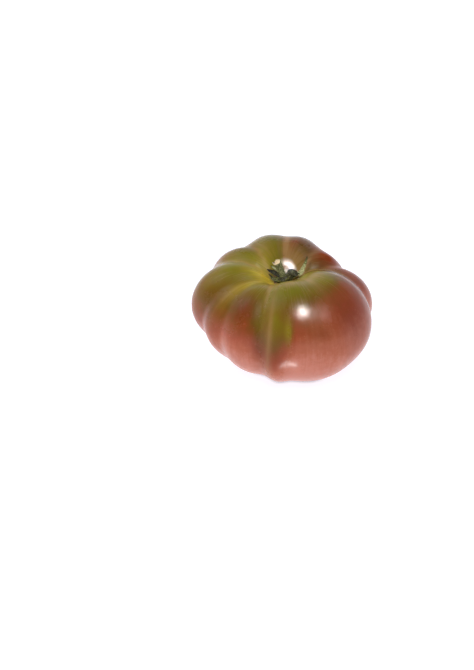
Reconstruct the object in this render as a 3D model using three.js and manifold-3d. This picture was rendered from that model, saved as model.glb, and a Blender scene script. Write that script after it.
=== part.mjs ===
// A ribbed tomato with its dried calyx, standing on the small flat spot at its blossom end.
// Millimetres, +Z up. The origin is on the surface it stands on, under the middle of the fruit,
// and -Y is the side with the largest lobe.
import * as THREE from "three";
import { mergeVertices } from "three/addons/utils/BufferGeometryUtils.js";
import Module from "manifold-3d";

const wasm = await Module();
wasm.setup();

// The core is the point inside the fruit, on the stem's line, that every lobe is measured from.
const CORE_X = 0.18;
const CORE_Y = 2.0;
const CORE_HEIGHT = 33.2;

// One ellipsoid for each swollen lobe: the azimuth of its middle in degrees, then how far out and
// how high that middle is from the core, then its half sizes outward, sideways and upward.
const LOBES = [
  { azimuth: -75, out: 22.0, height: -5.2, outward: 25.9, sideways: 24.9, upward: 26.5 },
  { azimuth: -33, out: 22.0, height: -5.6, outward: 28.1, sideways: 25.4, upward: 26.0 },
  { azimuth: 8, out: 21.0, height: -7.4, outward: 27.3, sideways: 18.1, upward: 23.0 },
  { azimuth: 40, out: 18.0, height: -6.0, outward: 23.4, sideways: 19.0, upward: 25.6 },
  { azimuth: 71, out: 18.0, height: -3.6, outward: 24.5, sideways: 18.5, upward: 28.2 },
  { azimuth: 104, out: 18.0, height: -2.9, outward: 25.6, sideways: 20.5, upward: 27.8 },
  { azimuth: 144, out: 19.5, height: -4.4, outward: 25.9, sideways: 17.5, upward: 25.9 },
  { azimuth: 179, out: 22.5, height: -3.9, outward: 25.7, sideways: 18.5, upward: 23.5 },
  { azimuth: 236, out: 20.0, height: -7.4, outward: 23.7, sideways: 21.0, upward: 24.6 },
];
// The ellipsoids that fill the furrows between lobes which have swollen into one broad bulge.
const SADDLES = [
  { azimuth: -54, out: 22.0, height: -6.6, outward: 28.0, sideways: 24.9, upward: 27.0 },
  { azimuth: 55, out: 18.0, height: -5.5, outward: 23.8, sideways: 19.0, upward: 25.9 },
  { azimuth: 88, out: 18.0, height: -4.1, outward: 24.6, sideways: 19.5, upward: 27.7 },
  { azimuth: 124, out: 18.6, height: -5.2, outward: 24.0, sideways: 17.0, upward: 26.4 },
  { azimuth: 162, out: 21.0, height: -6.5, outward: 24.8, sideways: 18.0, upward: 24.5 },
  { azimuth: 204, out: 20.5, height: -7.2, outward: 23.6, sideways: 17.5, upward: 23.4 },
  // The low one, which fills the foot of the furrow left of the largest lobe.
  { azimuth: -95, out: 20.6, height: -10.9, outward: 24.2, sideways: 12.3, upward: 21.9 },
];
// The ellipsoid in the middle, which is the floor of the furrows and of the stem's hollow.
const MIDDLE = { azimuth: -60, out: 3.0, height: -10.0, outward: 37.0, sideways: 37.0, upward: 25.0 };
const ELLIPSOIDS = [...LOBES, ...SADDLES, MIDDLE];
// How sharply the lobes meet each other, at the blossom end, at the sides and at the stem, and the
// heights where that changes, as shares of the way from the blossom end to the stem.
const CREASE_AT_BASE = 22;
const CREASE_AT_SIDE = 36;
const CREASE_AT_STEM = 14;
const BASE_ENDS = 0.05;
const SIDE_STARTS = 0.6;
const SIDE_ENDS = 0.85;

// The dip that the stem sits in, and the rounding of the edge of the flat spot.
const STEM_DIP = 6.0;
const STEM_DIP_RADIUS = 10.0;
const FLAT_EDGE = 1.0;

// Facets round the fruit and from stem to base, drawn together towards the stem.
const FRUIT_SECTORS = 96;
const FRUIT_RINGS = 46;
const RINGS_TO_STEM = 0.24;
const NORMAL_STEP = 0.002;

// The calyx: a hub on the fruit, the broken stub of the stalk, and dried sepals that curl off it.
const CALYX_GAP = 0.4;
const HUB_RADIUS = 4.2;
const HUB_TOP = 2.2;
const STUB_FOOT = new THREE.Vector3(1.2, 0.6, 0.4);
const STUB_KNEE = new THREE.Vector3(-0.2, 1.4, 5.2);
const STUB_TOP = new THREE.Vector3(-2.8, 2.0, 9.0);
const STUB_RADIUS = 1.8;
const STUB_SWELL = 0.4;
// Each sepal: its azimuth at the hub and at its tip in degrees, the polar angle of its tip as seen
// from the core, how soon it gets out there (1 is evenly), how far it arches off the skin at its
// middle and ends off it at its tip, and its half width.
const SEPALS = [
  { from: 165, to: 174, reach: 29, ease: 1.0, arch: 0.8, lift: 2.0, width: 1.4 },
  { from: 138, to: 150, reach: 26, ease: 1.0, arch: 1.0, lift: 1.0, width: 1.3 },
  { from: 205, to: 190, reach: 32, ease: 1.0, arch: 0.6, lift: 1.8, width: 1.3 },
  { from: 112, to: 136, reach: 24, ease: 1.0, arch: 0.8, lift: 1.4, width: 1.1 },
  { from: 34, to: -6, reach: 29, ease: 1.0, arch: 3.8, lift: 0.4, width: 2.2 },
  { from: -8, to: -14, reach: 27, ease: 1.0, arch: 1.4, lift: 0.4, width: 2.2 },
  { from: -34, to: 36, reach: 36, ease: 0.5, arch: 0.6, lift: 0.2, width: 1.1 },
  { from: 250, to: 236, reach: 33, ease: 1.0, arch: 1.2, lift: 1.0, width: 1.8 },
  { from: 306, to: 300, reach: 29, ease: 1.0, arch: 1.4, lift: 0.8, width: 1.8 },
];
const SEPAL_THICKNESS = 0.8;
const SEPAL_CLEARANCE = 1.0;
const SEPAL_ROOT_ANGLE = 4;
const SEPAL_STEPS = 10;
const SEPAL_SIDES = 8;
const STUB_STEPS = 8;
const STUB_SIDES = 12;

// Materials
const skin = new THREE.MeshStandardMaterial({ color: 0x8c5138, roughness: 0.22, metalness: 0 });
const driedSepal = new THREE.MeshStandardMaterial({ color: 0x4c4a30, roughness: 0.85, metalness: 0 });

// The distance from the core, along a direction, at which one ellipsoid is left behind.
function exitDistance(direction, ellipsoid) {
  const azimuth = THREE.MathUtils.degToRad(ellipsoid.azimuth);
  const outward = direction.x * Math.cos(azimuth) + direction.y * Math.sin(azimuth);
  const sideways = direction.y * Math.cos(azimuth) - direction.x * Math.sin(azimuth);
  const sizes = new THREE.Vector3(ellipsoid.outward, ellipsoid.sideways, ellipsoid.upward);
  const ray = new THREE.Vector3(outward, sideways, direction.z).divide(sizes);
  const middle = new THREE.Vector3(ellipsoid.out, 0, ellipsoid.height).divide(sizes);
  const along = ray.dot(middle);
  const square = ray.lengthSq();
  return (along + Math.sqrt(along * along - square * (middle.lengthSq() - 1))) / square;
}

// The larger of two heights, with a rounded corner of the given size where they meet.
function roundedMax(height, floor, corner) {
  const near = Math.max(corner - Math.abs(height - floor), 0) / corner;
  return Math.max(height, floor) + (near * near * corner) / 4;
}

// The point of the skin in a direction from the core: the lobes' outlines run together in a soft
// maximum, which is sharpest at the sides.
function skinPoint(direction) {
  const { lerp, smoothstep } = THREE.MathUtils;
  const up = (direction.z + 1) / 2;
  const atSide = lerp(CREASE_AT_BASE, CREASE_AT_SIDE, smoothstep(up, BASE_ENDS, SIDE_STARTS));
  const crease = lerp(atSide, CREASE_AT_STEM, smoothstep(up, SIDE_ENDS, 1));
  const exits = ELLIPSOIDS.map((ellipsoid) => exitDistance(direction, ellipsoid));
  const furthest = Math.max(...exits);
  const sum = exits.reduce((total, exit) => total + (exit / furthest) ** crease, 0);
  const point = direction.clone().multiplyScalar(furthest * sum ** (1 / crease));
  const fromAxis = Math.hypot(point.x, point.y) / STEM_DIP_RADIUS;
  point.z -= point.z > 0 ? STEM_DIP * Math.exp(-fromAxis * fromAxis) : 0;
  point.z = roundedMax(point.z, -CORE_HEIGHT, FLAT_EDGE);
  return point;
}

// The outward normal of the skin in a direction from the core, from four points close round it.
function skinNormal(direction) {
  const across = new THREE.Vector3(direction.z, direction.x, direction.y).cross(direction).normalize();
  const along = new THREE.Vector3().crossVectors(direction, across);
  const spread = (side) => {
    const ahead = skinPoint(direction.clone().addScaledVector(side, NORMAL_STEP).normalize());
    return ahead.sub(skinPoint(direction.clone().addScaledVector(side, -NORMAL_STEP).normalize()));
  };
  return spread(across).cross(spread(along)).normalize();
}

// A closed geometry with shared vertices, with each vertex moved by a function of its place.
function moved(geometry, move) {
  geometry.deleteAttribute("normal");
  geometry.deleteAttribute("uv");
  const closed = mergeVertices(geometry, 1e-4);
  const position = closed.attributes.position;
  const point = new THREE.Vector3();
  for (let i = 0; i < position.count; i += 1) {
    const place = move(point.fromBufferAttribute(position, i));
    position.setXYZ(i, place.x, place.y, place.z);
  }
  return closed;
}

function toSolid(geometry) {
  const vertProperties = geometry.attributes.position.array;
  const triVerts = new Uint32Array(geometry.index.array);
  return new wasm.Manifold(new wasm.Mesh({ numProp: 3, vertProperties, triVerts }));
}

function toGeometry(solid) {
  const mesh = solid.getMesh();
  const geometry = new THREE.BufferGeometry();
  geometry.setAttribute("position", new THREE.BufferAttribute(mesh.vertProperties, 3));
  geometry.setIndex(new THREE.BufferAttribute(mesh.triVerts, 1));
  geometry.computeVertexNormals();
  return geometry;
}

// A unit direction from its azimuth and its polar angle from +Z.
function directionTo(azimuth, polar) {
  const flat = Math.sin(polar);
  return new THREE.Vector3(flat * Math.cos(azimuth), flat * Math.sin(azimuth), Math.cos(polar));
}

// The fruit's skin is a sphere whose vertices move out to the lobes. Its rings are drawn towards
// the stem, where the furrows run together. A clearance puts it that far outside the skin.
function fruitGeometry(clearance = 0) {
  const sphere = new THREE.SphereGeometry(1, FRUIT_SECTORS, FRUIT_RINGS);
  sphere.rotateX(Math.PI / 2);
  return moved(sphere, (vertex) => {
    const polar = Math.acos(THREE.MathUtils.clamp(vertex.z, -1, 1));
    const drawn = polar - RINGS_TO_STEM * Math.sin(polar) * (1 + Math.cos(polar));
    const direction = directionTo(Math.atan2(vertex.y, vertex.x), drawn);
    const point = skinPoint(direction);
    return clearance > 0 ? point.addScaledVector(skinNormal(direction), clearance) : point;
  });
}

// A bar along a curve: a cylinder whose rings move to the curve, flattened across the direction that
// the bar faces. The two half sizes are functions of the share of the length.
function barAlong(curve, facing, across, through, sides, steps) {
  const bar = new THREE.CylinderGeometry(1, 1, 1, sides, steps);
  return moved(bar, (vertex) => {
    const share = THREE.MathUtils.clamp(0.5 - vertex.y, 0, 1);
    const centre = curve.getPoint(share);
    const along = curve.getTangent(share);
    const side = new THREE.Vector3().crossVectors(along, facing(share)).normalize();
    const outside = new THREE.Vector3().crossVectors(side, along);
    return centre
      .addScaledVector(side, vertex.x * across(share))
      .addScaledVector(outside, -vertex.z * through(share));
  });
}

// A dried sepal: it leaves the hub along the skin, arches off it, and tapers to its tip.
function sepalSolid(sepal) {
  const { degToRad, lerp } = THREE.MathUtils;
  const directions = Array.from({ length: SEPAL_STEPS + 1 }, (_, step) => {
    const share = step / SEPAL_STEPS;
    const polar = lerp(SEPAL_ROOT_ANGLE, sepal.reach, share ** sepal.ease);
    return directionTo(degToRad(lerp(sepal.from, sepal.to, share)), degToRad(polar));
  });
  const normals = directions.map(skinNormal);
  const points = directions.map((direction, step) => {
    const share = step / SEPAL_STEPS;
    const offSkin = SEPAL_CLEARANCE + sepal.lift * share * share + sepal.arch * Math.sin(Math.PI * share);
    return skinPoint(direction).addScaledVector(normals[step], offSkin);
  });
  const curve = new THREE.CatmullRomCurve3(points);
  const facingCurve = new THREE.CatmullRomCurve3(normals);
  const facing = (share) => facingCurve.getPoint(share);
  const across = (share) => sepal.width * (0.45 + 0.55 * Math.sin(Math.PI * share)) * (1 - 0.5 * share);
  const through = () => SEPAL_THICKNESS / 2;
  return toSolid(barAlong(curve, facing, across, through, SEPAL_SIDES, SEPAL_STEPS));
}

// The hub is a low cushion on the bottom of the hollow.
function hubSolid(base) {
  const hub = new THREE.SphereGeometry(1, 20, 10);
  const size = new THREE.Vector3(HUB_RADIUS, HUB_RADIUS, HUB_TOP);
  return toSolid(moved(hub, (vertex) => vertex.clone().multiply(size).add(base)));
}

// The stub is a bent round stalk, thicker where it grows from the hub and at its broken end.
function stubSolid(base) {
  const places = [STUB_FOOT, STUB_KNEE, STUB_TOP].map((place) => place.clone().add(base));
  const radius = (share) => STUB_RADIUS + STUB_SWELL * (share ** 4 + (1 - share) ** 4);
  const facing = () => new THREE.Vector3(0, -1, 0);
  const curve = new THREE.CatmullRomCurve3(places);
  return toSolid(barAlong(curve, facing, radius, radius, STUB_SIDES, STUB_STEPS));
}

// The hub and stub are cut clear of the skin under them, and the sepals already stand off it.
function calyxGeometry() {
  const base = skinPoint(new THREE.Vector3(0, 0, 1));
  const clearOfSkin = hubSolid(base).add(stubSolid(base)).subtract(toSolid(fruitGeometry(CALYX_GAP)));
  return toGeometry(SEPALS.map(sepalSolid).reduce((sum, sepal) => sum.add(sepal), clearOfSkin));
}

function named(name, geometry, material) {
  const mesh = new THREE.Mesh(geometry, material);
  mesh.name = name;
  return mesh;
}

const tomato = new THREE.Group();
tomato.position.set(CORE_X, CORE_Y, CORE_HEIGHT);
const fruit = fruitGeometry();
fruit.computeVertexNormals();
tomato.add(named("fruit", fruit, skin));
tomato.add(named("calyx", calyxGeometry(), driedSepal));

export default tomato;
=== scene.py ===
import math

import bpy
import numpy as np
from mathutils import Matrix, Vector


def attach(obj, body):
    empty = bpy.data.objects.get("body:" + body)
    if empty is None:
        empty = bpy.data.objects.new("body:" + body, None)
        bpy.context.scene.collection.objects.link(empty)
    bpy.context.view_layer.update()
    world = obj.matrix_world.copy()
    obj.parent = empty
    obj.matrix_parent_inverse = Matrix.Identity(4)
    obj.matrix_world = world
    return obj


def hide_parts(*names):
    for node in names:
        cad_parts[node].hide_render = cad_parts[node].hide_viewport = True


# A ribbed tomato with its dried calyx, standing on a pale floor.
# Sizes are millimetres until a mesh, a light or a camera is made, which is in metres. Angles are
# degrees where a comment names no other unit. Directions and places on the skin are taken from the
# core, the point inside the fruit that its lobes are measured from.
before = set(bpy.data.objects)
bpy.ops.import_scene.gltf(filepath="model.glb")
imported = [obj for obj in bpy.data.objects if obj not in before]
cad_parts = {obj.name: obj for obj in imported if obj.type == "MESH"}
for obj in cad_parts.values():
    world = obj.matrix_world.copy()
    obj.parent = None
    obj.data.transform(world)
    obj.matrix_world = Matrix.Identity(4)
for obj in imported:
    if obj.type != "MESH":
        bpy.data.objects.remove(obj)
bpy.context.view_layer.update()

MM = 0.001
CORE = np.array([0.18, 2.0, 33.2])
UP = np.array([0.0, 0.0, 1.0])
DOWN = np.array([0.0, 0.0, -1.0])

# The fruit's form: one ellipsoid for each swollen lobe, as the azimuth of its middle, how far out
# and how high that middle is, and its half sizes outward, sideways and upward.
LOBES = (
    (-75, 22.0, -5.2, 25.9, 24.9, 26.5),
    (-33, 22.0, -5.6, 28.1, 25.4, 26.0),
    (8, 21.0, -7.4, 27.3, 18.1, 23.0),
    (40, 18.0, -6.0, 23.4, 19.0, 25.6),
    (71, 18.0, -3.6, 24.5, 18.5, 28.2),
    (104, 18.0, -2.9, 25.6, 20.5, 27.8),
    (144, 19.5, -4.4, 25.9, 17.5, 25.9),
    (179, 22.5, -3.9, 25.7, 18.5, 23.5),
    (236, 20.0, -7.4, 23.7, 21.0, 24.6),
)
# The ellipsoids that fill the furrows between lobes which have swollen into one broad bulge. The
# last one is low: it fills the foot of the furrow left of the largest lobe.
SADDLES = (
    (-54, 22.0, -6.6, 28.0, 24.9, 27.0),
    (55, 18.0, -5.5, 23.8, 19.0, 25.9),
    (88, 18.0, -4.1, 24.6, 19.5, 27.7),
    (124, 18.6, -5.2, 24.0, 17.0, 26.4),
    (162, 21.0, -6.5, 24.8, 18.0, 24.5),
    (204, 20.5, -7.2, 23.6, 17.5, 23.4),
    (-95, 20.6, -10.9, 24.2, 12.3, 21.9),
)
# The ellipsoid that fills the middle.
MIDDLE = (-60, 3.0, -10.0, 37.0, 37.0, 25.0)

# How sharply the ellipsoids meet, at the base, the side and the stem, and where one gives way to
# the next, as shares of the way up.
CREASE_AT_BASE = 22.0
CREASE_AT_SIDE = 44.0
CREASE_AT_STEM = 14.0
BASE_ENDS, SIDE_STARTS, SIDE_ENDS = 0.05, 0.6, 0.85

# The hollow that the stem sits in, the rounded edge of the flat spot, the dimple at the blossom
# end, and how far inside the CAD solid the skin stays, as a share of its distance from the core.
STEM_DIP = 6.0
STEM_DIP_RADIUS = 10.0
FLAT_EDGE = 1.0
BLOSSOM_DIMPLE = 0.5
BLOSSOM_RADIUS = 2.4
INSIDE_CAD = 0.9985

# Relief of the skin, as heights in mm: slow swellings, a faint orange peel, and the fine pleats
# that run into the stem's hollow.
SWELLINGS = {"height": 0.10, "slowest": 5.0, "fastest": 13.0, "count": 14, "seed": 3}
ORANGE_PEEL = {"height": 0.012, "slowest": 45.0, "fastest": 80.0, "count": 24, "seed": 5}
PLEAT_HEIGHT = 0.004
PLEAT_COUNTS = (23, 31, 44, 57)
PLEAT_POLAR = 22.0
PLEAT_SPREAD = 9.0
PLEAT_SEED = 11
# The furrows between the lobes where they run down into the hollow: their azimuths, their depth
# and width, and the polar angle where they are deepest, with its spread.
STEM_FURROWS = (88, 126, 20, 160, -168, -132, -100, -54, -12)
STEM_FURROW_DEPTH = 0.25
STEM_FURROW_WIDTH = 9.0
STEM_FURROW_POLAR = 17.0
STEM_FURROW_SPREAD = 9.0

# The fruit's mesh: its sectors and rings, and how much closer the rings lie towards the stem.
FRUIT_SECTORS = 448
FRUIT_RINGS = 200
RINGS_TO_STEM = 0.24

# The hub of the calyx, half sunk in the hollow: its radius and height, and of each the share that
# it has everywhere and the share that it swells by towards each sepal.
HUB_SECTORS = 160
HUB_RINGS = 60
HUB_RADIUS = 4.2
HUB_TOP = 2.2
HUB_TIP_SHARE = 0.9
HUB_RADIUS_SHARE, HUB_RADIUS_SWELL = 0.80, 0.16
HUB_HEIGHT_SHARE, HUB_HEIGHT_SWELL = 0.86, 0.14
HUB_SWELL_SPREAD = 17
# Its fine lumps and ribs, as shares of the radius and as counts round it and from top to bottom.
HUB_LUMPS, HUB_LUMP_COUNT = 0.02, 29
HUB_RIBS, HUB_RIB_COUNT, HUB_RIB_ROWS = 0.05, 17, 9
# Its colouring: that of a sepal this share of the way along, its count of veins, and its paleness, set low
# so that the hub is darker as painted shade under the sepals.
HUB_ALONG = 0.12
HUB_VEIN_COUNT = 9
HUB_PALENESS_IN_SHADE = -0.3

# The stub of the stalk, as places from the bottom of the hollow: it bends at the knee, and swells
# at both ends. Each row of its ridges is a height, a count round it, and how far they turn along
# the stub and where they start, in radians.
STUB_SECTORS = 96
STUB_RINGS = 60
STUB_FOOT = np.array([0.2, 0.6, 0.4])
STUB_KNEE = np.array([-1.5, 1.5, 4.8])
STUB_TOP = np.array([-3.3, 2.3, 8.6])
STUB_RADIUS = 1.7
STUB_SWELL = 0.45
STUB_RIDGE_COUNT = 7
STUB_RIDGES = (
    (0.10, STUB_RIDGE_COUNT, 1.2, 0.0),
    (0.05, 17, 0.0, 4.0),
)
STUB_KNOTS, STUB_KNOT_SLANT, STUB_KNOT_RATES, STUB_KNOT_SEED = 0.08, 0.1, (2.0, 5.0, 9.0), 31
# Its colouring: that of a sepal up to this share of the way along, its veins and its paleness.
STUB_ALONG = 0.5
STUB_VEINS = 2
STUB_PALE = 0.6
# Its broken end: the torn edge's height, and the horns that stand up from it, as the angle, spread
# and height of each. The angle, in radians, runs from +X by the front, -Y, to the back.
TORN_HEIGHT, TORN_RATES, TORN_SEED = 0.20, (5.0, 9.0, 14.0), 41
TORN_FROM = 0.82
TORN_HORNS = (
    (0.1, 0.28, 1.1),
    (math.pi - 0.1, 0.32, 1.5),
    (1.5 * math.pi, 0.9, 1.2),
)
# The rings inside the broken end, each as its share of the rim's width and how deep it is sunk,
# and the depth of their middle.
PITH_RINGS = ((0.88, 0.0), (0.72, 0.15), (0.5, 0.30), (0.25, 0.35))
PITH_DEPTH = 0.35
# The pith's colouring: where it starts along the stub, how much of it shows at the rim, and the
# share of a sepal's length that its tone is taken from.
PITH_FROM = 0.96
PITH_AT_RIM = 0.5
PITH_ALONG = 0.6

# Each sepal: azimuths at hub and tip, polar angle of the tip, ease, arch, lift and half width, how
# much paler than the others it is, how far it rolls into a gutter, and how far its tip twists, in
# radians.
SEPALS = (
    (165, 174, 29, 1.0, 0.8, 2.2, 1.35, -0.4, 1.0, 0.5),
    # The second sepal is pale: a dried sepal's pale underside, made pale enough to stand in as a painted
    # highlight for the skin's glints between the sepals.
    (138, 152, 22, 1.0, 1.0, 1.0, 0.95, 1.5, 0.9, -0.4),
    (205, 190, 31, 1.0, 0.6, 1.8, 1.35, 0.6, 1.0, 0.4),
    (112, 138, 20, 1.0, 0.8, 1.4, 1.00, 0.3, 0.8, -0.5),
    (34, -6, 29, 1.0, 3.8, 0.4, 1.90, -0.1, 0.7, 0.0),
    (-8, -14, 27, 1.0, 1.4, 0.4, 1.60, 0.2, 0.8, 0.2),
    (-34, 36, 36, 0.5, 0.6, 0.2, 1.55, 1.3, 0.3, 0.0),
    (250, 236, 33, 1.0, 1.2, 1.0, 1.10, 0.6, 0.9, -0.3),
    (306, 300, 29, 1.0, 1.4, 0.8, 1.10, 0.8, 0.9, 0.3),
)
SEPAL_STEPS = 72
SEPAL_POINTS_ACROSS = 14
SEPAL_CLEARANCE = 1.0
SEPAL_ROOT_POLAR = 4.0
# A sepal's outline, as shares of the half width: the root's, the belly's swell and the taper, then
# how late the tip rounds off and how narrow it ends, and the raggedness of the edges, which is
# shifted forward along one edge and back along the other.
SEPAL_ROOT, SEPAL_BELLY, SEPAL_TAPER = 0.6, 0.4, 0.3
TIP_POWER, TIP_LEAST = 7, 0.004
RAGGEDNESS, RAGGED_SHIFT, RAGGED_RATES, RAGGED_SEED = 0.09, 0.11, (6.0, 11.0, 23.0), 200
# Its section: the thickness, the shares of it lost at the edge and at the tip, the share of the
# roll by which the gutter's middle is sunk, the veins, the midrib and the wrinkles.
SEPAL_THICKNESS = 0.42
THIN_AT_EDGE, THIN_AT_TIP = 0.7, 0.55
GUTTER_SUNK = 0.3
VEIN_HEIGHT, VEIN_COUNT = 0.06, 5
MIDRIB_HEIGHT, MIDRIB_WIDTH = 0.14, 0.16
WRINKLE_HEIGHT, WRINKLE_SLANT, WRINKLE_RATES, WRINKLE_SEED = 0.10, 0.05, (5.0, 9.0, 17.0), 300

# The skin ripens from the shoulders down, between these polar angles.
GREEN_TO, RIPE_FROM = 34, 106
# Where it is riper or greener than its height says: azimuth and polar angle, the spread along each,
# and the change.
RIPENING = (
    (-98, 77, 3.6, 11, -0.36),
    (-84, 54, 12, 6, -0.15),
    (-76, 66, 10, 6, 0.08),
    (-58, 70, 10, 10, 0.12),
    (-92, 81, 2.5, 8, -0.22),
    (-100, 96, 7, 10, -0.30),
    (-45, 74, 16, 12, 0.06),
    (-88, 80, 2.2, 6, -0.34),
    (-38, 96, 14, 10, -0.12),
    (-30, 62, 16, 8, 0.24),
    (-32, 53, 8, 4, -0.16),
    (72, 33, 12, 10, 0.55),
    (31, 50, 20, 18, 0.55),
    (118, 36, 9, 8, -0.15),
    (-110, 80, 5, 12, -0.34),
    (178, 58, 14, 8, -0.12),
    (-127, 68, 9, 8, 0.10),
    (-131, 82, 10, 10, -0.12),
    (-176, 88, 26, 16, -0.36),
)
# Where it is yellow, tan, darker with painted shade and deeper colour, and dull with bloom, in the same
# terms.
YELLOWING = (
    (-164, 32, 14, 8, 0.95),
    (-148, 56, 4, 16, 0.28),
    (160, 26, 30, 9, 0.35),
    (-88, 80, 1.6, 6, 0.18),
)
TAN_AND_PAINTED_REFLECTION = (
    (52, 24, 26, 8, 0.60),
    (124, 38, 7, 12, 0.25),
    (8, 26, 30, 8, 0.20),
    (-101.5, 92, 1.8, 22, 0.40),
    (-70, 80, 8, 8, 0.14),
    (84, 26, 4, 12, 0.70),
    # These two rows are painted reflection: pale veils along the near rim and along the right lobe's crest.
    (-80, 42, 40, 4, 0.30),
    (-28, 43, 10, 4, 0.25),
)
# The darker patches are painted shade on the hollow's far wall and the sides of the lobes, and in places
# the skin's own deeper colour.
DEEPENING_AND_PAINTED_SHADE = (
    (112, 34, 40, 16, 0.56),
    (20, 48, 22, 14, 0.50),
    (62, 34, 14, 8, 0.35),
    (137, 50, 12, 6, 0.25),
    (-66, 84, 4, 2.5, 0.25),
    (-108, 98, 4, 14, 0.40),
    (-98, 97, 6, 9, 0.30),
    (-90, 56, 18, 12, 0.36),
    (-160, 78, 16, 14, 0.32),
    (-129, 72, 12, 9, 0.62),
    (-156, 85, 10, 8, 0.22),
    (-42, 80, 9, 12, 0.30),
)
BLOOM = (
    (62, 25, 38, 5.5, 1.30),
    (32, 30, 12, 6, 0.60),
    (-98, 82, 8, 26, 0.60),
    (-145, 80, 16, 10, 0.50),
    (137, 50, 10, 6, 0.45),
    (28, 61, 10, 8, 0.45),
    (-61, 69, 3.5, 7, 0.55),
    (135, 22, 32, 10, 1.10),
    (30, 52, 14, 10, 0.90),
)
# Where the furrows have no line of their own colour, in the same terms.
QUIET_FURROWS = (
    (-54, 90, 14, 40, 0.9),
    (-12, 90, 14, 40, 0.6),
)
# Dry corky spots on the skin, in the same terms, the corky ring round the calyx, and the scar that
# the blossom left under the fruit.
CORK = (
    (8, 30, 7, 3.0, 0.9),
)
CORK_RING_RADIUS = 4.6
CORK_RING_WIDTH = 1.1
CORK_RING_AMOUNT = 0.8
SCAR_RADIUS = 2.6
# The furrows' own colour: the widths of a narrow line and of a wide glow beside it, and how much
# tan each brings. It is full near the stem, and faint from the side down.
FURROW_LINE_WIDTH, FURROW_LINE_TAN = 1.3, 0.40
FURROW_GLOW_WIDTH, FURROW_GLOW_TAN = 3.5, 0.20
FURROW_GLOW_EDGE = 1.5
FURROWS_FULL_TO, FURROWS_FAINT_FROM = 35, 75
FURROWS_FAINT = 0.25

# The skin's colours, as the six digits of each on a screen, along the ripeness.
SKIN_COLORS = (
    (0.00, "7c7816"),
    (0.22, "7c6814"),
    (0.42, "7e5818"),
    (0.58, "904c1e"),
    (0.76, "a44a28"),
    (0.90, "b8603e"),
    (1.00, "cc7c64"),
)
TAN = "b48c58"
YELLOWS = ((0.3, "f4dc4c"), (0.7, "dcb83c"))
SHOULDER_STREAKS = "a8885a"
PALE_DOTS = "c9a25c"
DARK_DOTS = "4a2c14"
CORK_COLORS = ((0.35, "8a6a3e"), (0.65, "d2b07c"))
SCAR = "5c4226"
# What the darkest patches, painted shade and deeper colour, multiply the colour by.
DEEPER_AND_SHADED = (0.42, 0.34, 0.34, 1.0)
# How far each noise moves the ripeness, and the share of that which is left where it is ripe.
RIPENESS_NOISE = {
    "clouds": 0.26,
    "mottle": 0.20,
    "streaks": 0.16,
    "fine_streaks": 0.07,
    "speckle": 0.12,
}
UNEVEN_WHERE_RIPE = 0.55
# The streaks run along the lobes: how fast they vary round the fruit and along it.
STREAK_RATES = (16.0, 16.0, 1.3)
FINE_STREAK_RATES = (48.0, 48.0, 3.0)
# The span of the streaks' noise over which tan and yellow grow, and the polar angles over which the
# fine streaks fade from the shoulders down.
STREAK_SPAN = (0.25, 0.6)
SHOULDER_TO, SHOULDER_ENDS = 45, 80
# Pinprick dots: how many there are to a mm, how near one its colour starts and is full, and how
# much of it shows.
PALE_DOT_RATE, PALE_DOT_EDGE, PALE_DOT_FULL, PALE_DOT_AMOUNT = 0.95, 0.22, 0.10, 0.30
DARK_DOT_RATE, DARK_DOT_EDGE, DARK_DOT_FULL, DARK_DOT_AMOUNT = 0.16, 0.06, 0.03, 0.45
DARK_DOT_SHIFT = (7.3, 1.9, 4.1)
# The skin's roughness, how far it varies, what bloom and cork add to it, and the gloss that bloom
# takes away.
SKIN_ROUGHNESS, ROUGHNESS_CHANGE = 0.20, 0.08
BLOOM_ROUGHNESS, CORK_ROUGHNESS = 0.15, 0.5
FULL_GLOSS, BLOOM_GLOSS_LOSS = 0.5, 0.48

# The dried calyx's colours, from dark to pale, and its broken pith's, then the tone that they start
# from and what its grain, its veins, its paleness, its tips and its edges change in it.
CALYX_COLORS = (
    (0.00, "140f06"),
    (0.25, "2c2710"),
    (0.50, "5c5c26"),
    (0.75, "989a5c"),
    (1.00, "ccca92"),
)
PITH_COLORS = ((0.3, "b89c6c"), (0.7, "f0dcb4"))
CALYX_TONE = 0.42
CALYX_GRAIN = 1.3
CALYX_VEINS = 1.0
CALYX_PALER = 0.34
TIP_DARKENING, EDGE_DARKENING = 0.45, 0.16

# The floor: its half width in metres, its two shades, how much it glows on the fruit and as seen,
# and the contact shadow's reach in metres and the share of the glow that is left in it.
FLOOR_REACH = 3.0
FLOOR_SHADES = ("868688", "8a8a8c")
FLOOR_GLOW, FLOOR_GLOW_SEEN = 0.92, 0.93
FLOOR_GLOW_TINT = (0.98, 0.97, 1.05, 1.0)
CONTACT_REACH = 0.0022
CONTACT_GLOW = 0.45

# The surround: its tint, its strength low down and high up, the heights between which it fades, and
# how much higher the front counts than the back.
SURROUND_TINT = (0.97, 0.97, 1.12, 1.0)
SURROUND_SEEN = (1.0, 1.0, 1.0, 1.0)
STRENGTH_LOW, STRENGTH_HIGH = 0.68, 0.10
FADE_FROM, FADE_TO = 0.05, 0.60
FRONT_DIMMING = 0.3

# The round soft lights: azimuth and elevation as seen from the core, distance and width in metres,
# radiance, and whether the light is for the gloss. The others are for the shading. The three discs
# of the sheen make a highlight that is bright in its middle and soft at its edge.
ROUND_LIGHTS = (
    ("key_light", -85, 55, 0.90, 0.26, 18.0, False),
    ("left_fill", 155, 45, 0.90, 0.60, 7.0, False),
    ("left_veil", 160, 40, 0.95, 0.55, 0.5, True),
    ("sheen_1", -58.5, 62, 0.90, 0.20, 46.0, True),
    ("sheen_2", -58.5, 62, 0.91, 0.38, 22.0, True),
    ("sheen_3", -58.5, 62, 0.92, 0.64, 5.5, True),
)
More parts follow.
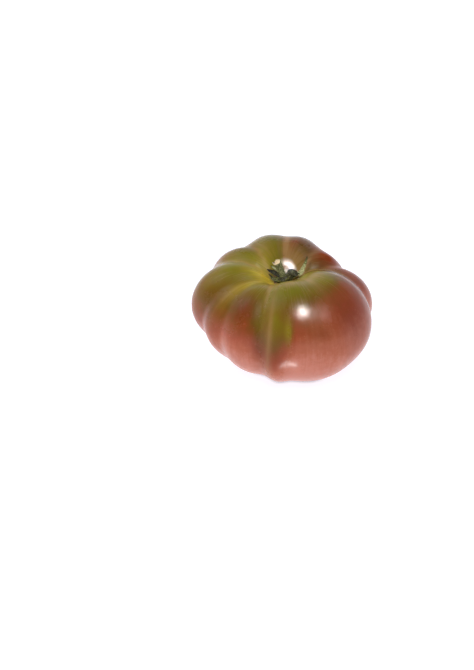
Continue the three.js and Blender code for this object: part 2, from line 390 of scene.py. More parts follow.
# The small cards close to the fruit that show as glints: place, aim, size, radiance and spread.
GLINTS = (
    ("low_glint", (-1, -61, 2), (-1, -61, 30), (13, 8), 15.0, 180),
    ("hollow_glint", (-17, -40, 112), (1.9, 6.8, 49.6), (14, 14), 4.2, 8),
)

# The picture's frame and how the fruit sits in it.
PICTURE_WIDTH, PICTURE_HEIGHT = 474, 670
CORE_PIXEL = (283, 298)
PIXELS_PER_MM = 1.905
CAMERA_ELEVATION = 34.0
CAMERA_DISTANCE = 700.0
SENSOR = 36.0


def smoothstep(low, high, value):
    """0 below low, 1 above high, and an even slope between."""
    share = np.clip((value - low) / (high - low), 0, 1)
    return share * share * (3 - 2 * share)


def bell(value, spread):
    """1 at zero, and fading to nothing on both sides of it."""
    return np.exp(-(value / spread) ** 2)


def unit(vectors):
    """The vectors at length one."""
    return vectors / np.linalg.norm(vectors, axis=-1, keepdims=True)


def turn_from(middle, azimuth):
    """How far azimuths lie from a middle one, from -180 to 180."""
    return (azimuth - middle + 180) % 360 - 180


def direction_to(azimuth, polar):
    """Unit directions from azimuths and polar angles in radians."""
    flat = np.sin(polar)
    return np.stack([flat * np.cos(azimuth), flat * np.sin(azimuth), np.cos(polar) + 0 * azimuth], -1)


def angles_of(direction):
    """The azimuths and polar angles of unit directions."""
    azimuth = np.degrees(np.arctan2(direction[..., 1], direction[..., 0]))
    polar = np.degrees(np.arccos(np.clip(direction[..., 2], -1, 1)))
    return azimuth, polar


def exit_distances(direction, ellipsoids):
    """How far out along each direction every ellipsoid is left behind, a row for each ellipsoid."""
    rows = []
    for azimuth, out, height, outward, sideways, upward in ellipsoids:
        turn = math.radians(azimuth)
        ray_out = (direction[..., 0] * math.cos(turn) + direction[..., 1] * math.sin(turn)) / outward
        ray_side = (direction[..., 1] * math.cos(turn) - direction[..., 0] * math.sin(turn)) / sideways
        ray_up = direction[..., 2] / upward
        square = ray_out ** 2 + ray_side ** 2 + ray_up ** 2
        along = ray_out * out / outward + ray_up * height / upward
        beyond = (out / outward) ** 2 + (height / upward) ** 2 - 1
        rows.append((along + np.sqrt(along ** 2 - square * beyond)) / square)
    return np.array(rows)


def waves(direction, height, slowest, fastest, count, seed):
    """Slow uneven relief over the directions: a sum of seeded sine waves through space."""
    rng = np.random.default_rng(seed)
    total = np.zeros(direction.shape[:-1])
    for _ in range(count):
        wave = rng.normal(size=3)
        wave *= rng.uniform(slowest, fastest) / np.linalg.norm(wave)
        total += np.sin(direction @ wave + rng.uniform(0, 2 * math.pi))
    return height * total / math.sqrt(count / 2)


def pleats(direction):
    """The fine pleats of the skin round the stem, strongest a little way up the hollow's wall."""
    azimuth, polar = angles_of(direction)
    around = np.radians(azimuth)
    rng = np.random.default_rng(PLEAT_SEED)
    total = sum(np.sin(count * around + rng.uniform(0, 2 * math.pi)) for count in PLEAT_COUNTS)
    return PLEAT_HEIGHT * total * bell(polar - PLEAT_POLAR, PLEAT_SPREAD)


def stem_furrows(direction):
    """The furrows in the hollow's wall, as depths."""
    azimuth, polar = angles_of(direction)
    total = sum(bell(turn_from(middle, azimuth), STEM_FURROW_WIDTH) for middle in STEM_FURROWS)
    return STEM_FURROW_DEPTH * total * bell(polar - STEM_FURROW_POLAR, STEM_FURROW_SPREAD)


def skin_point(direction):
    """The point of the skin in each direction from the core."""
    distance = exit_distances(direction, LOBES + SADDLES + (MIDDLE,))
    up = (direction[..., 2] + 1) / 2
    crease = CREASE_AT_BASE + (CREASE_AT_SIDE - CREASE_AT_BASE) * smoothstep(BASE_ENDS, SIDE_STARTS, up)
    crease += (CREASE_AT_STEM - CREASE_AT_SIDE) * smoothstep(SIDE_ENDS, 1.0, up)
    furthest = distance.max(axis=0)
    joined = furthest * ((distance / furthest) ** crease).sum(axis=0) ** (1 / crease)
    joined = joined * INSIDE_CAD - SWELLINGS["height"] + waves(direction, **SWELLINGS)
    joined += waves(direction, **ORANGE_PEEL) + pleats(direction) - stem_furrows(direction)
    point = direction * joined[..., None]
    from_axis = np.hypot(point[..., 0], point[..., 1])
    point[..., 2] -= np.where(point[..., 2] > 0, STEM_DIP * bell(from_axis, STEM_DIP_RADIUS), 0)
    floor = -CORE[2]
    near = np.maximum(FLAT_EDGE - np.abs(point[..., 2] - floor), 0) / FLAT_EDGE
    point[..., 2] = np.maximum(point[..., 2], floor) + near ** 2 * FLAT_EDGE / 4
    point[..., 2] += np.where(point[..., 2] < 0, BLOSSOM_DIMPLE * bell(from_axis, BLOSSOM_RADIUS), 0)
    return point


def skin_normal(direction, step=0.004):
    """The outward normal of the skin in each direction, from four points close round it."""
    across = unit(np.cross(direction[..., [2, 0, 1]], direction))
    along = np.cross(direction, across)

    def spread(side):
        return skin_point(unit(direction + side * step)) - skin_point(unit(direction - side * step))

    return unit(np.cross(spread(across), spread(along)))


def ring_faces(first, sectors, rings):
    """Quads between neighbouring closed rings of vertices, the first of which starts at first."""
    ring, sector = np.meshgrid(np.arange(rings - 1), np.arange(sectors), indexing="ij")
    ahead = (sector + 1) % sectors
    start = first + ring * sectors
    return np.stack([start + sector, start + sectors + sector, start + sectors + ahead, start + ahead], -1)


def fan_faces(middle, first, sectors, outward=True):
    """Triangles from a middle vertex to a closed ring of vertices."""
    sector = np.arange(sectors)
    ahead = (sector + 1) % sectors
    corners = (sector, ahead) if outward else (ahead, sector)
    return [(middle, int(a) + first, int(b) + first) for a, b in zip(*corners)]


def closed_mesh(name, start, rings, end, attributes):
    """A piece whose skin is a start vertex, closed rings of vertices and an end vertex, as places
    from the core, with float attributes given as (value at start, values of rings, value at end)."""
    count, sectors = rings.shape[:2]
    places = np.concatenate([[start], rings.reshape(-1, 3), [end]]) + CORE
    faces = fan_faces(0, 1, sectors)
    faces += ring_faces(1, sectors, count).reshape(-1, 4).tolist()
    faces += fan_faces(1 + count * sectors, 1 + (count - 1) * sectors, sectors, outward=False)
    mesh = bpy.data.meshes.new(name)
    mesh.from_pydata((places * MM).tolist(), [], faces)
    for key, (first, values, last) in attributes.items():
        layer = mesh.attributes.new(key, "FLOAT", "POINT")
        filled = np.broadcast_to(values, rings.shape[:2]).reshape(-1)
        layer.data.foreach_set("value", np.concatenate([[first], filled, [last]]).astype(np.float32))
    mesh.polygons.foreach_set("use_smooth", np.ones(len(mesh.polygons), bool))
    mesh.update()
    piece = bpy.data.objects.new(name, mesh)
    bpy.context.scene.collection.objects.link(piece)
    return piece


def dressed(piece, material, node):
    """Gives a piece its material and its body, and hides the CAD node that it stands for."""
    piece.data.materials.append(material)
    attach(piece, "root")
    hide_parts(node)
    return piece


def patches(azimuth, polar, table):
    """The sum of soft patches over the fruit, from rows of place, spread and amount."""
    total = np.zeros(np.broadcast(azimuth, polar).shape)
    for at_azimuth, at_polar, azimuth_spread, polar_spread, amount in table:
        turn = turn_from(at_azimuth, azimuth)
        reach = (turn / azimuth_spread) ** 2 + ((polar - at_polar) / polar_spread) ** 2
        total += amount * np.exp(-reach / 2)
    return total


def skin_attributes(azimuth, polar, rings):
    """What the skin's colour follows, by name, over angles in radians and the rings of vertices."""
    direction = direction_to(azimuth, polar)
    distance = np.sort(exit_distances(direction, LOBES), axis=0)
    behind = distance[-1] - distance[-2]
    at = (np.degrees(azimuth), np.degrees(polar))
    from_axis = np.hypot(rings[..., 0], rings[..., 1])
    upper = np.where(polar < math.pi / 2, 1.0, 0.0)
    cork_ring = upper * CORK_RING_AMOUNT * bell(from_axis - CORK_RING_RADIUS, CORK_RING_WIDTH)
    shown = FURROWS_FAINT + (1 - FURROWS_FAINT) * smoothstep(FURROWS_FAINT_FROM, FURROWS_FULL_TO, at[1])
    shown = shown * (1 - patches(*at, QUIET_FURROWS))
    glow = np.exp(-(behind / FURROW_GLOW_WIDTH) ** FURROW_GLOW_EDGE)
    return {
        "ripeness": (0.0, smoothstep(GREEN_TO, RIPE_FROM, at[1]) + patches(*at, RIPENING), 1.0),
        "yellow": (0.5, patches(*at, YELLOWING), 0.0),
        "tan": (0.3, patches(*at, TAN_AND_PAINTED_REFLECTION), 0.0),
        # The deep patches are painted shade, with the skin's deeper colour in places.
        "deep": (0.0, patches(*at, DEEPENING_AND_PAINTED_SHADE), 0.0),
        "bloom": (0.0, patches(*at, BLOOM), 0.0),
        "furrow_line": (0.0, shown * bell(behind, FURROW_LINE_WIDTH), 0.0),
        "furrow_glow": (0.0, shown * glow, 0.0),
        "cork": (1.0, patches(*at, CORK) + cork_ring, 0.0),
        "blossom": (0.0, (1 - upper) * bell(from_axis, SCAR_RADIUS), 1.0),
        "ray_x": (0.0, np.cos(azimuth), 0.0),
        "ray_y": (0.0, np.sin(azimuth), 0.0),
        "polar": (0.0, polar, math.pi),
    }


def make_fruit(material):
    """The whole skin, with the attributes that its colour follows."""
    polar = np.linspace(0, math.pi, FRUIT_RINGS + 1)[1:-1]
    polar = polar - RINGS_TO_STEM * np.sin(polar) * (1 + np.cos(polar))
    azimuth = np.linspace(0, 2 * math.pi, FRUIT_SECTORS, endpoint=False)
    polar, azimuth = np.meshgrid(polar, azimuth, indexing="ij")
    rings = skin_point(direction_to(azimuth, polar))
    attributes = skin_attributes(azimuth, polar, rings)
    piece = closed_mesh("tomato_fruit", skin_point(UP), rings, skin_point(DOWN), attributes)
    return dressed(piece, material, "fruit")


def uneven(share, seed, rates):
    """A smooth uneven line from -1 to 1 along a share of a length, seeded."""
    rng = np.random.default_rng(seed)
    lines = [np.sin(2 * math.pi * rate * share + rng.uniform(0, 2 * math.pi)) for rate in rates]
    return sum(lines) / len(rates)


def sepal_line(row, share):
    """The middle line of a sepal above the skin, with its directions sideways and outward."""
    from_azimuth, to_azimuth, tip_polar, ease, arch, lift, _, _, _, tip_twist = row
    polar = np.radians(SEPAL_ROOT_POLAR + (tip_polar - SEPAL_ROOT_POLAR) * share ** ease)
    azimuth = np.radians(from_azimuth + (to_azimuth - from_azimuth) * share)
    direction = direction_to(azimuth, polar)
    normal = skin_normal(direction)
    off_skin = SEPAL_CLEARANCE + lift * share ** 2 + arch * np.sin(math.pi * share)
    line = skin_point(direction) + normal * off_skin[:, None]
    along = unit(np.gradient(line, axis=0))
    side = unit(np.cross(along, normal))
    outside = np.cross(side, along)
    twist = (tip_twist * share ** 1.5)[:, None]
    turned_side = side * np.cos(twist) + outside * np.sin(twist)
    turned_out = outside * np.cos(twist) - side * np.sin(twist)
    return line, turned_side, turned_out


def make_sepal(number, row, material):
    """A dried sepal: a thin gutter with a midrib and veins that curls off the skin to a ragged tip."""
    half_width, pale, roll = row[6:9]
    share = np.linspace(0, 1, SEPAL_STEPS)
    line, side, outside = sepal_line(row, share)

    # Round each ring the points run across the upper face and back under the lower one.
    across = np.linspace(-1, 1, SEPAL_POINTS_ACROSS)
    across = np.concatenate([across, across[::-1]])[None, :]
    face = np.repeat([1, -1], SEPAL_POINTS_ACROSS)[None, :]
    share = share[:, None]
    width = half_width * (SEPAL_ROOT + SEPAL_BELLY * np.sin(math.pi * share)) * (1 - SEPAL_TAPER * share)
    width = width * np.sqrt(np.clip(1 - share ** TIP_POWER, TIP_LEAST, 1))
    edge_share = share + RAGGED_SHIFT * np.sign(across)
    sideways = across * width * (1 + RAGGEDNESS * uneven(edge_share, RAGGED_SEED + number, RAGGED_RATES))

    veins = VEIN_HEIGHT * np.cos(VEIN_COUNT * math.pi * across) + MIDRIB_HEIGHT * bell(across, MIDRIB_WIDTH)
    wrinkle = uneven(share + WRINKLE_SLANT * across, WRINKLE_SEED + number, WRINKLE_RATES)
    thick = SEPAL_THICKNESS * (1 - THIN_AT_EDGE * across ** 4) * (1 - THIN_AT_TIP * share)
    lifted = roll * width * (across ** 2 - GUTTER_SUNK) + veins + face * thick / 2
    lifted = lifted + WRINKLE_HEIGHT * wrinkle * np.abs(across)
    rings = line[:, None] + side[:, None] * sideways[..., None] + outside[:, None] * lifted[..., None]
    attributes = {
        "along": (0.0, share, 1.0),
        "edge": (0.0, np.abs(across), 1.0),
        "across": (0.0, across, 0.0),
        "pale": (pale, pale, pale),
        "pith": (0.0, 0.0, 0.0),
    }
    root, tip = rings[0].mean(axis=0), rings[-1].mean(axis=0)
    piece = closed_mesh(f"sepal_{number + 1}", root, rings, tip, attributes)
    return dressed(piece, material, "calyx")


def make_hub(base, material):
    """The lumpy cushion that the sepals and the stub grow from, half sunk in the hollow's bottom."""
    around = np.linspace(0, 2 * math.pi, HUB_SECTORS, endpoint=False)[None, :]
    down = np.linspace(0, math.pi, HUB_RINGS + 2)[1:-1, None]
    swell = np.zeros_like(around)
    for from_azimuth, *_ in SEPALS:
        swell = np.maximum(swell, bell(turn_from(from_azimuth, np.degrees(around)), HUB_SWELL_SPREAD))
    lumps = HUB_LUMPS * np.sin(HUB_LUMP_COUNT * around + 1.0)
    radius = HUB_RADIUS * (HUB_RADIUS_SHARE + HUB_RADIUS_SWELL * swell + lumps)
    radius = radius * (1 + HUB_RIBS * np.sin(HUB_RIB_ROWS * down) * np.sin(HUB_RIB_COUNT * around))
    rings = base + np.stack([
        np.sin(down) * np.cos(around) * radius,
        np.sin(down) * np.sin(around) * radius,
        np.cos(down) * HUB_TOP * (HUB_HEIGHT_SHARE + HUB_HEIGHT_SWELL * swell),
    ], -1)
    attributes = {
        "along": (0.0, HUB_ALONG, 0.0),
        "edge": (0.0, 0.5 + 0.5 * np.sin(HUB_LUMP_COUNT * around), 0.0),
        "across": (0.0, np.cos(HUB_VEIN_COUNT * around), 0.0),
        # The hub's low paleness is painted shade under the sepals.
        "pale": (HUB_PALENESS_IN_SHADE, HUB_PALENESS_IN_SHADE, HUB_PALENESS_IN_SHADE),
        "pith": (0.0, 0.0, 0.0),
    }
    to_tip = UP * HUB_TOP * HUB_TIP_SHARE
    piece = closed_mesh("calyx_hub", base + to_tip, rings, base - to_tip, attributes)
    return dressed(piece, material, "calyx")


def curve_through(first, middle, last, share):
    """Points along the curve that has three places at its start, its half and its end."""
    share = share[:, None]
    from_first = first * (1 - share) * (1 - 2 * share)
    by_middle = middle * 4 * share * (1 - share)
    return from_first + by_middle + last * share * (2 * share - 1)


def torn_rim(around):
    """The height of the stub's broken edge over angles in radians: ragged, with horns."""
    height = TORN_HEIGHT * uneven(around / (2 * math.pi), TORN_SEED, TORN_RATES)
    for angle, spread, horn in TORN_HORNS:
        turn = np.radians(turn_from(math.degrees(angle), np.degrees(around)))
        height = height + horn * bell(turn, spread)
    return height


def make_stub(base, material):
    """The stub of the stalk: a bent ribbed stalk whose broken end has torn horns round a hollow."""
    around = np.linspace(0, 2 * math.pi, STUB_SECTORS, endpoint=False)
    share = np.linspace(0, 1, STUB_RINGS)
    line = base + curve_through(STUB_FOOT, STUB_KNEE, STUB_TOP, share)
    along = unit(np.gradient(line, axis=0))
    side = unit(np.cross(along, np.array([0.0, -1.0, 0.0])))
    front = np.cross(side, along)
    width = (STUB_RADIUS + STUB_SWELL * (share ** 5 + (1 - share) ** 4))[:, None]
    for height, count, twist, phase in STUB_RIDGES:
        width = width + height * np.sin(count * around + twist * share[:, None] + phase)
    slanted = share[:, None] + STUB_KNOT_SLANT * np.sin(around)
    width = width + STUB_KNOTS * uneven(slanted, STUB_KNOT_SEED, STUB_KNOT_RATES)
    ring_side = np.cos(around)[None, :, None] * side[:, None]
    ring_front = np.sin(around)[None, :, None] * front[:, None]
    body = line[:, None] + (ring_side + ring_front) * width[..., None]

    rim = torn_rim(around)
    end, onward = line[-1], along[-1]
    torn = rim * smoothstep(TORN_FROM, 1.0, share)[:, None]
    body = body + onward * torn[..., None]
    flat_rim = body[-1] - end - onward * rim[:, None]
    inner = [
        end + flat_rim * narrower + onward * (rim * narrower ** 3 - sunk)[:, None]
        for narrower, sunk in PITH_RINGS
    ]
    rings = np.concatenate([body, inner])
    along_share = np.concatenate([share * STUB_ALONG, np.full(len(inner), PITH_ALONG)])
    pith = np.concatenate([PITH_AT_RIM * smoothstep(PITH_FROM, 1.0, share), np.ones(len(inner))])
    attributes = {
        "along": (0.0, along_share[:, None], PITH_ALONG),
        "edge": (0.0, 0.4 + 0.4 * np.sin(STUB_RIDGE_COUNT * around), 0.5),
        "across": (0.0, STUB_VEINS * np.cos(around), 0.0),
        "pale": (STUB_PALE, STUB_PALE, STUB_PALE),
        "pith": (0.0, pith[:, None], 1.0),
    }
    piece = closed_mesh("stalk_stub", line[0], rings, end - onward * PITH_DEPTH, attributes)
    return dressed(piece, material, "calyx")


def linear(code):
    """A material colour from the six digits of its screen colour."""
    values = [int(code[at:at + 2], 16) / 255 for at in (0, 2, 4)]
    return tuple(v / 12.92 if v <= 0.04045 else ((v + 0.055) / 1.055) ** 2.4 for v in values) + (1.0,)


class Nodes:
    """The node tree of a material or a world, with one short call for each kind of node."""

    def __init__(self, owner):
        owner.use_nodes = True
        self.owner = owner
        self.tree = owner.node_tree
        self.tree.nodes.clear()

    def node(self, kind, **settings):
        made = self.tree.nodes.new(kind)
        for key, value in settings.items():
            setattr(made, key, value)
        return made

    def put(self, target, value):
        """Links an output to a socket, or sets the socket's own value."""
        if isinstance(value, bpy.types.NodeSocket):
            self.tree.links.new(value, target)
        else:
            target.default_value = value

    def put_all(self, made, **values):
        """Puts values to the sockets of a node, named with underscores for spaces."""
        for key, value in values.items():
            self.put(made.inputs[key.replace("_", " ")], value)

    def attribute(self, name):
        return self.node("ShaderNodeAttribute", attribute_name=name).outputs["Fac"]

    def place(self, scale=1.0):
        """Object coordinates in mm, times a scale."""
        made = self.node("ShaderNodeVectorMath", operation="SCALE")
        self.put(made.inputs[0], self.node("ShaderNodeTexCoord").outputs["Object"])
        self.put(made.inputs["Scale"], scale / MM)
        return made.outputs[0]

    def vector(self, operation, first, second):
        made = self.node("ShaderNodeVectorMath", operation=operation)
        self.put(made.inputs[0], first)
        self.put(made.inputs[1], second)
        return made.outputs[0]

    def joined(self, x, y, z):
        made = self.node("ShaderNodeCombineXYZ")
        self.put_all(made, X=x, Y=y, Z=z)
        return made.outputs[0]

    def math(self, operation, first, second, third=None, clamp=False):
        made = self.node("ShaderNodeMath", operation=operation, use_clamp=clamp)
        self.put(made.inputs[0], first)
        self.put(made.inputs[1], second)
        if third is not None:
            self.put(made.inputs[2], third)
        return made.outputs[0]

    def varied(self, value, noise, amount):
        """A value that a noise from 0 to 1 moves up and down by half an amount."""
        return self.math("MULTIPLY_ADD", self.math("SUBTRACT", noise, 0.5), amount, value)

    def noise(self, vector, scale, detail=3.0, roughness=0.55):
        made = self.node("ShaderNodeTexNoise")
        self.put_all(made, Vector=vector, Scale=scale, Detail=detail, Roughness=roughness)
        return made.outputs["Fac"]

    def dots(self, vector, scale):
        """The distance from the nearest of many dots scattered through space."""
        made = self.node("ShaderNodeTexVoronoi", feature="F1")
        self.put_all(made, Vector=vector, Scale=scale)
        return made.outputs["Distance"]

    def between(self, value, low, high, to_low=0.0, to_high=1.0):
        """A smooth slope from one value at low to another at high."""
        made = self.node("ShaderNodeMapRange", interpolation_type="SMOOTHSTEP")
        self.put_all(made, Value=value, From_Min=low, From_Max=high, To_Min=to_low, To_Max=to_high)
        return made.outputs["Result"]

    def ramp(self, value, stops, interpolation="EASE"):
        made = self.node("ShaderNodeValToRGB")
        self.put(made.inputs["Fac"], value)
        band = made.color_ramp
        band.interpolation = interpolation
        while len(band.elements) < len(stops):
            band.elements.new(0.5)
        for element, (place, code) in zip(band.elements, stops):
            element.position = place
            element.color = linear(code)
        return made.outputs["Color"]

    def mix(self, share, first, second, blend="MIX"):
        made = self.node("ShaderNodeMix", data_type="RGBA", blend_type=blend)
        for at, value in ((0, share), (6, first), (7, second)):
            self.put(made.inputs[at], value)
        return made.outputs[2]

    def bump(self, height, strength, distance, under=None):
        made = self.node("ShaderNodeBump")
        self.put_all(made, Height=height, Strength=strength, Distance=distance * MM)
        if under is not None:
            self.put(made.inputs["Normal"], under)
        return made.outputs["Normal"]

    def background(self, color, strength):
        made = self.node("ShaderNodeBackground")
        self.put_all(made, Color=color, Strength=strength)
        return made.outputs["Background"]

    def surface(self, color, roughness, **values):
        """A material's surface, from its colour, its roughness and the shader's other sockets."""
        shader = self.node("ShaderNodeBsdfPrincipled")
        self.put_all(shader, Base_Color=color, Roughness=roughness, **values)
        self.put(self.node("ShaderNodeOutputMaterial").inputs["Surface"], shader.outputs["BSDF"])
        return self.owner


def skin_noises(n):
    """The noises that the skin's colour, gloss and relief follow, by name."""
    place = n.place()
    ray = n.joined(n.attribute("ray_x"), n.attribute("ray_y"), n.attribute("polar"))
    streak_place = n.vector("MULTIPLY", ray, STREAK_RATES)
    fine_streak_place = n.vector("MULTIPLY", ray, FINE_STREAK_RATES)
    return {
        "clouds": n.noise(place, 0.07),
        "mottle": n.noise(place, 0.35, detail=4.0, roughness=0.6),
        "streaks": n.noise(streak_place, 1.0),
        "fine_streaks": n.noise(fine_streak_place, 1.0, detail=2.0),
        "speckle": n.noise(place, 2.2, roughness=0.65),
    }


def ripening_color(n, noises):
    """Olive at the shoulders, brown red at the sides and rosy at the base, all of it uneven."""
    ripeness = n.attribute("ripeness")
    unevenness = n.between(ripeness, 0.7, 1.0, 1.0, UNEVEN_WHERE_RIPE)
    for name, amount in RIPENESS_NOISE.items():
        ripeness = n.varied(ripeness, noises[name], n.math("MULTIPLY", unevenness, amount))
    return n.ramp(ripeness, SKIN_COLORS, "LINEAR")


def with_patches(n, color, noises):
    """Tan furrows and patches, some painted reflection, yellow round the stem, shoulder streaks and painted
    shade.
    """
    streaks, fine_streaks = noises["streaks"], noises["fine_streaks"]
    # The tan carries two painted reflections, pale veils on the near rim and on the right lobe's crest.
    tan = n.math("MULTIPLY_ADD", n.attribute("furrow_line"), FURROW_LINE_TAN, n.attribute("tan"))
    tan = n.math("MULTIPLY_ADD", n.attribute("furrow_glow"), FURROW_GLOW_TAN, tan)
    tan = n.math("MULTIPLY", tan, n.between(streaks, *STREAK_SPAN, 0.6, 1.15), clamp=True)
    color = n.mix(tan, color, linear(TAN))
    yellow = n.between(streaks, *STREAK_SPAN, 0.7, 1.15)
    yellow = n.math("MULTIPLY", n.attribute("yellow"), yellow, clamp=True)
    color = n.mix(yellow, color, n.ramp(fine_streaks, YELLOWS))
    shoulder = (math.radians(SHOULDER_TO), math.radians(SHOULDER_ENDS), 1.0, 0.0)
    shoulder = n.between(n.attribute("polar"), *shoulder)
    streaked = n.math("MULTIPLY", shoulder, n.between(fine_streaks, 0.52, 0.72, 0.0, 0.45))
    color = n.mix(streaked, color, linear(SHOULDER_STREAKS))
    # Painted shade: the deep patches darken the colour, with the skin's deeper colour in places.
    return n.mix(n.attribute("deep"), color, DEEPER_AND_SHADED, blend="MULTIPLY")


def skin_material():
    """Glossy ripening skin with dots, dry cork round the stem and the scar of the blossom."""
    n = Nodes(bpy.data.materials.new("tomato_skin"))
    noises = skin_noises(n)
    mottle, speckle = noises["mottle"], noises["speckle"]
    color = with_patches(n, ripening_color(n, noises), noises)

    place = n.place()
    pale = n.between(n.dots(place, PALE_DOT_RATE), PALE_DOT_FULL, PALE_DOT_EDGE, 1.0, 0.0)
    pale = n.math("MULTIPLY", pale, n.between(mottle, 0.45, 0.65))
    color = n.mix(n.math("MULTIPLY", pale, PALE_DOT_AMOUNT), color, linear(PALE_DOTS))
    dark = n.dots(n.vector("ADD", place, DARK_DOT_SHIFT), DARK_DOT_RATE)
    dark = n.between(dark, DARK_DOT_FULL, DARK_DOT_EDGE, 1.0, 0.0)
    color = n.mix(n.math("MULTIPLY", dark, DARK_DOT_AMOUNT), color, linear(DARK_DOTS))

    cork = n.between(n.varied(n.attribute("cork"), speckle, 0.9), 0.42, 0.62)
    color = n.mix(cork, color, n.ramp(speckle, CORK_COLORS))
    scar = n.between(n.varied(n.attribute("blossom"), speckle, 0.8), 0.4, 0.6)
    color = n.mix(scar, color, linear(SCAR))

    bloom = n.attribute("bloom")
    gloss = n.math("MULTIPLY_ADD", bloom, -BLOOM_GLOSS_LOSS, FULL_GLOSS, clamp=True)
    roughness = n.math("MULTIPLY_ADD", mottle, ROUGHNESS_CHANGE, SKIN_ROUGHNESS)
    roughness = n.math("MULTIPLY_ADD", bloom, BLOOM_ROUGHNESS, roughness)
    dry = n.math("MAXIMUM", cork, scar)
    roughness = n.math("MULTIPLY_ADD", dry, CORK_ROUGHNESS, roughness, clamp=True)

    normal = n.bump(speckle, 0.10, 0.10)
    normal = n.bump(n.noise(place, 0.9, detail=2.0), 0.12, 0.25, under=normal)
    normal = n.bump(pale, 0.20, 0.04, under=normal)
    normal = n.bump(n.math("MULTIPLY", cork, speckle), 0.7, 0.35, under=normal)
    return n.surface(
        color, roughness, Normal=normal, Specular_IOR_Level=gloss, IOR=1.42,
        Subsurface_Weight=0.12, Subsurface_Scale=0.003, Subsurface_Radius=(1.0, 0.35, 0.15),
    )


def calyx_material():
    """Dull dried plant tissue: grey olive with brown edges and tips, veins, and pale torn pith."""
    n = Nodes(bpy.data.materials.new("dried_calyx"))
    place = n.place()
    along = n.attribute("along")
    grain = n.noise(place, 1.4, detail=4.0, roughness=0.65)
    fine = n.noise(place, 5.0, roughness=0.6)
    across = n.math("MULTIPLY", n.attribute("across"), 6.0)
    veins = n.noise(n.joined(across, n.math("MULTIPLY", along, 3.0), 0.0), 1.0)
    tone = n.varied(CALYX_TONE, grain, CALYX_GRAIN)
    tone = n.varied(tone, veins, CALYX_VEINS)
    tone = n.math("MULTIPLY_ADD", n.attribute("pale"), CALYX_PALER, tone)
    tone = n.math("SUBTRACT", tone, n.between(along, 0.72, 1.0, 0.0, TIP_DARKENING))
    edge = n.between(n.attribute("edge"), 0.7, 1.0, 0.0, EDGE_DARKENING)
    tone = n.math("SUBTRACT", tone, edge, clamp=True)
    color = n.mix(n.attribute("pith"), n.ramp(tone, CALYX_COLORS), n.ramp(fine, PITH_COLORS))
    normal = n.bump(fine, 0.5, 0.08, under=n.bump(veins, 0.6, 0.15))
    return n.surface(color, n.math("MULTIPLY_ADD", fine, 0.15, 0.78), Normal=normal, IOR=1.3)


def make_floor():
    """The pale floor that the fruit stands on, a little darker where the fruit touches it."""
    mesh = bpy.data.meshes.new("floor")
    corners = [(x * FLOOR_REACH, y * FLOOR_REACH, 0) for x, y in ((-1, -1), (1, -1), (1, 1), (-1, 1))]
    mesh.from_pydata(corners, [], [(0, 1, 2, 3)])
    floor = bpy.data.objects.new("floor", mesh)
    bpy.context.scene.collection.objects.link(floor)
    n = Nodes(bpy.data.materials.new("pale_floor"))
    color = n.mix(n.noise(n.place(0.02), 1.0), *map(linear, FLOOR_SHADES))
    openness = n.node("ShaderNodeAmbientOcclusion", samples=8)
    n.put_all(openness, Distance=CONTACT_REACH)
    contact = n.between(openness.outputs["AO"], 0.2, 0.9, CONTACT_GLOW, 1.0)
    seen = n.node("ShaderNodeLightPath").outputs["Is Camera Ray"]
    glow = n.math("MULTIPLY", contact, n.between(seen, 0.0, 1.0, FLOOR_GLOW, FLOOR_GLOW_SEEN))
    mesh.materials.append(n.surface(color, 0.8, Emission_Color=FLOOR_GLOW_TINT, Emission_Strength=glow))


def make_world():
    """A pale surround: white where the camera sees it, and otherwise bright low down and dim above."""
    world = bpy.data.worlds.new("studio")
    bpy.context.scene.world = world
    n = Nodes(world)
    split = n.node("ShaderNodeSeparateXYZ")
    n.put_all(split, Vector=n.node("ShaderNodeTexCoord").outputs["Generated"])
    height = n.math("MULTIPLY_ADD", split.outputs["Y"], -FRONT_DIMMING, split.outputs["Z"])
    strength = n.between(height, FADE_FROM, FADE_TO, STRENGTH_LOW, STRENGTH_HIGH)
    either = n.node("ShaderNodeMixShader")
    n.put(either.inputs[0], n.node("ShaderNodeLightPath").outputs["Is Camera Ray"])
    n.put(either.inputs[1], n.background(SURROUND_TINT, strength))
    n.put(either.inputs[2], n.background(SURROUND_SEEN, 1.0))
    n.put(n.node("ShaderNodeOutputWorld").inputs["Surface"], either.outputs["Shader"])


def area_light(name, shape, width, height, place, aim):
    """An area light at a place that faces an aim, all in metres, which the camera doesn't see."""
    data = bpy.data.lights.new(name, "AREA")
    data.shape = shape
    data.size = width
    data.size_y = height
    light = bpy.data.objects.new(name, data)
    bpy.context.scene.collection.objects.link(light)
    light.location = place
    light.rotation_euler = (place - aim).to_track_quat("Z", "Y").to_euler()
    light.visible_camera = False
    return light


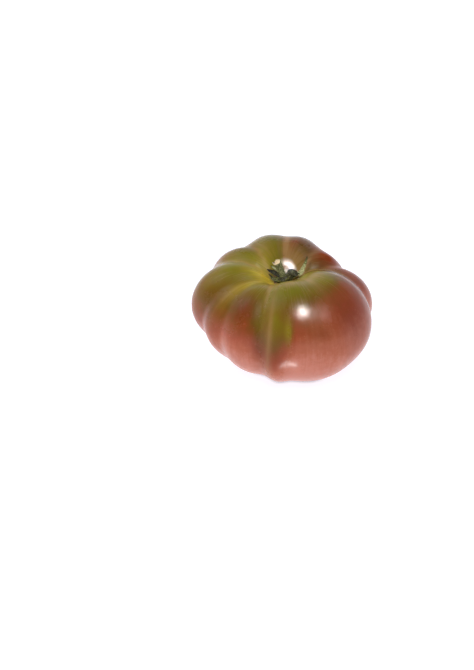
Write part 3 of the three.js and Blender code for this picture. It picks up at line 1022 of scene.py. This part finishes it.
def make_round_light(name, azimuth, elevation, distance, width, radiance, for_gloss):
    """A round soft light that faces the core, for the gloss or for the shading."""
    turn, rise = math.radians(azimuth), math.radians(elevation)
    away = Vector((math.cos(rise) * math.cos(turn), math.cos(rise) * math.sin(turn), math.sin(rise)))
    core = Vector(CORE * MM)
    light = area_light(name, "DISK", width, width, core + away * distance, core)
    light.data.energy = radiance * math.pi * math.pi * (width / 2) ** 2
    light.visible_glossy = for_gloss
    light.visible_diffuse = not for_gloss


def make_glint(name, place, aim, size, radiance, spread):
    """A small card of light close to the fruit, which shows only as a soft glint where it aims."""
    width, height = (side * MM for side in size)
    light = area_light(name, "RECTANGLE", width, height, Vector(place) * MM, Vector(aim) * MM)
    light.data.energy = radiance * math.pi * width * height
    light.data.spread = math.radians(spread)
    light.visible_diffuse = False


def make_camera():
    """A camera that looks along +Y and down, with the core at its place in the picture."""
    rise = math.radians(CAMERA_ELEVATION)
    forward = np.array([0, math.cos(rise), -math.sin(rise)])
    right = np.array([1.0, 0, 0])
    up = np.cross(right, forward)
    aim = CORE - right * (CORE_PIXEL[0] - PICTURE_WIDTH / 2) / PIXELS_PER_MM
    aim = aim - up * (PICTURE_HEIGHT / 2 - CORE_PIXEL[1]) / PIXELS_PER_MM
    data = bpy.data.cameras.new("camera")
    data.sensor_width = SENSOR
    data.lens = PIXELS_PER_MM * CAMERA_DISTANCE * SENSOR / PICTURE_HEIGHT
    data.clip_start = 0.01
    camera = bpy.data.objects.new("camera", data)
    camera.location = Vector((aim - forward * CAMERA_DISTANCE) * MM)
    camera.rotation_euler = (math.radians(90 - CAMERA_ELEVATION), 0, 0)
    bpy.context.scene.collection.objects.link(camera)
    bpy.context.scene.camera = camera


make_camera()
make_world()
for light_row in ROUND_LIGHTS:
    make_round_light(*light_row)
for glint_row in GLINTS:
    make_glint(*glint_row)
make_floor()
bpy.context.scene.view_settings.view_transform = "Standard"

make_fruit(skin_material())
hollow_bottom = skin_point(UP)
calyx_look = calyx_material()
make_hub(hollow_bottom, calyx_look)
make_stub(hollow_bottom, calyx_look)
for sepal_number, sepal_row in enumerate(SEPALS):
    make_sepal(sepal_number, sepal_row, calyx_look)
